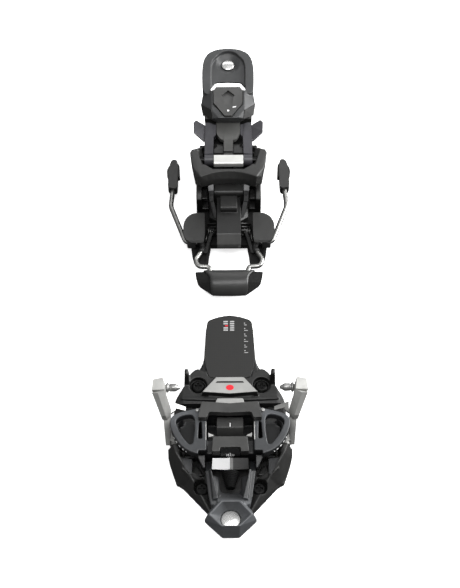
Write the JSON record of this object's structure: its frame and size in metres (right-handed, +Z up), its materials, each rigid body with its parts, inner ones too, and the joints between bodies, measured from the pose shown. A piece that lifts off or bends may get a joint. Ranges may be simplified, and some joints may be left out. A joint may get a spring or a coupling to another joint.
{
  "type": "touring binding",
  "caption": "Ski touring binding pair of units: a pin toe piece with lever, clamping arms and sideways release, and a heel piece with jaw, lever, climbing aid and ski brake on a length track.",
  "frame": {"origin": "centre of the assembly's footprint, on the plane of the ski's top surface", "axes": "+Y along the ski towards its tail, +X to one side across the ski, +Z up from the ski; the toe unit is on the -Y side and the heel unit on the +Y side"},
  "size_m": [0.1112, 0.4066, 0.0686],
  "materials": {
    "black_nylon": "glass-filled moulded nylon, fine satin grain",
    "grey_nylon": "lighter grey moulded nylon, satin",
    "carbon_print": "dark woven-look laminate, satin clear coat",
    "black_rubber": "matte black elastomer",
    "cast_aluminium": "bead-blasted forged aluminium",
    "polished_steel": "polished stainless steel",
    "spring_steel": "drawn spring steel wire",
    "brake_wire_steel": "drawn round steel wire",
    "dark_screw_steel": "black phosphated steel",
    "scale_plastic": "gloss black insert with a pale scale"
  },
  "bodies": {
    "base_plates": {"toe_base": "black_nylon", "tongue_cover": "carbon_print", "badge_plate": "carbon_print", "toe_guide_rod": "polished_steel", "toe_screw_rear_left": "dark_screw_steel", "toe_screw_rear_right": "dark_screw_steel", "toe_screw_front_left": "dark_screw_steel", "toe_screw_front_right": "dark_screw_steel", "heel_track": "black_nylon", "length_screw": "dark_screw_steel", "heel_screw_front_left": "dark_screw_steel", "heel_screw_front_right": "dark_screw_steel", "heel_screw_rear_left": "dark_screw_steel", "heel_screw_rear_right": "dark_screw_steel"},
    "toe_slider": {"toe_carriage": "black_nylon", "badge_strip": "grey_nylon", "toe_bumper": "black_rubber", "scale_bracket": "cast_aluminium", "scale_insert": "scale_plastic", "release_yoke": "cast_aluminium", "release_sleeve": "black_rubber", "release_spring": "spring_steel", "toe_lever_axle": "dark_screw_steel", "arm_pivot_rod_left": "dark_screw_steel", "arm_pivot_rod_right": "dark_screw_steel"},
    "step_in_trigger": {"step_in_plate": "black_nylon"},
    "toe_lever": {"toe_lever": "black_nylon", "toe_lever_disc": "polished_steel"},
    "toe_arm_left": {"toe_arm_left": "cast_aluminium", "toe_pin_left": "polished_steel", "arm_strap_left": "polished_steel"},
    "toe_arm_right": {"toe_arm_right": "cast_aluminium", "toe_pin_right": "polished_steel", "arm_strap_right": "polished_steel"},
    "heel_slider": {"heel_carriage": "black_nylon", "heel_housing": "black_nylon", "heel_tower": "black_nylon", "axle_cap": "polished_steel", "heel_spring": "spring_steel", "heel_release_screw": "polished_steel", "heel_block": "black_nylon", "guide_rail_left": "grey_nylon", "guide_rail_right": "grey_nylon", "heel_pad_left": "black_nylon", "heel_pad_right": "black_nylon"},
    "heel_jaw": {"heel_jaw": "black_nylon"},
    "heel_lever": {"heel_lever": "grey_nylon", "lever_cover": "grey_nylon", "lever_hook": "grey_nylon", "heel_lever_disc": "polished_steel"},
    "climbing_aid": {"riser_arm_left": "grey_nylon", "riser_arm_right": "grey_nylon", "main_axle": "dark_screw_steel"},
    "ski_brake": {"brake_pedal": "black_nylon", "pedal_wing_left": "black_rubber", "pedal_wing_right": "black_rubber", "brake_wire_left": "brake_wire_steel", "brake_wire_right": "brake_wire_steel", "brake_end_left": "black_nylon", "brake_end_right": "black_nylon"}
  },
  "joints": [
    {"name": "toe_release_slide", "type": "slide", "parent": "base_plates", "child": "toe_slider", "axis": [1, 0, 0], "range_m": [-0.006, 0.006], "stiffness_N_per_m": 8000},
    {"name": "toe_lever_pivot", "type": "hinge", "parent": "toe_slider", "child": "toe_lever", "pos_m": [0, -0.1511, 0.011], "axis": [-1, 0, 0], "range_deg": [0, 20]},
    {"name": "step_in_slide", "type": "slide", "parent": "toe_slider", "child": "step_in_trigger", "axis": [0, 0, -1], "range_m": [0, 0.0045]},
    {"name": "toe_arm_left_pivot", "type": "hinge", "parent": "toe_slider", "child": "toe_arm_left", "pos_m": [-0.04, -0.1261, 0.009], "axis": [0, 1, 0], "range_deg": [0, 13.6]},
    {"name": "toe_arm_right_pivot", "type": "hinge", "parent": "toe_slider", "child": "toe_arm_right", "pos_m": [0.04, -0.1261, 0.009], "axis": [0, -1, 0], "range_deg": [0, 13.6]},
    {"name": "heel_length_slide", "type": "slide", "parent": "base_plates", "child": "heel_slider", "axis": [0, 1, 0], "range_m": [-0.0125, 0.0125]},
    {"name": "heel_lever_pivot", "type": "hinge", "parent": "heel_slider", "child": "heel_lever", "pos_m": [0, 0.1011, 0.046], "axis": [1, 0, 0], "range_deg": [0, 45]},
    {"name": "heel_jaw_pivot", "type": "hinge", "parent": "heel_slider", "child": "heel_jaw", "pos_m": [0, 0.1011, 0.046], "axis": [1, 0, 0], "range_deg": [0, 18.1]},
    {"name": "climbing_aid_pivot", "type": "hinge", "parent": "heel_slider", "child": "climbing_aid", "pos_m": [0, 0.1011, 0.046], "axis": [1, 0, 0], "range_deg": [0, 115]},
    {"name": "ski_brake_pivot", "type": "hinge", "parent": "heel_slider", "child": "ski_brake", "pos_m": [0, 0.0441, 0.0119], "axis": [-1, 0, 0], "range_deg": [0, 42]}
  ],
  "couplings": [
    {"joint": "toe_arm_left_pivot", "follows": "toe_lever_pivot", "ratio": 0.675},
    {"joint": "toe_arm_right_pivot", "follows": "toe_lever_pivot", "ratio": 0.675},
    {"joint": "step_in_slide", "follows": "toe_lever_pivot", "m_per_rad": 0.0114},
    {"joint": "heel_jaw_pivot", "follows": "heel_lever_pivot", "ratio": 0.4}
  ]
}
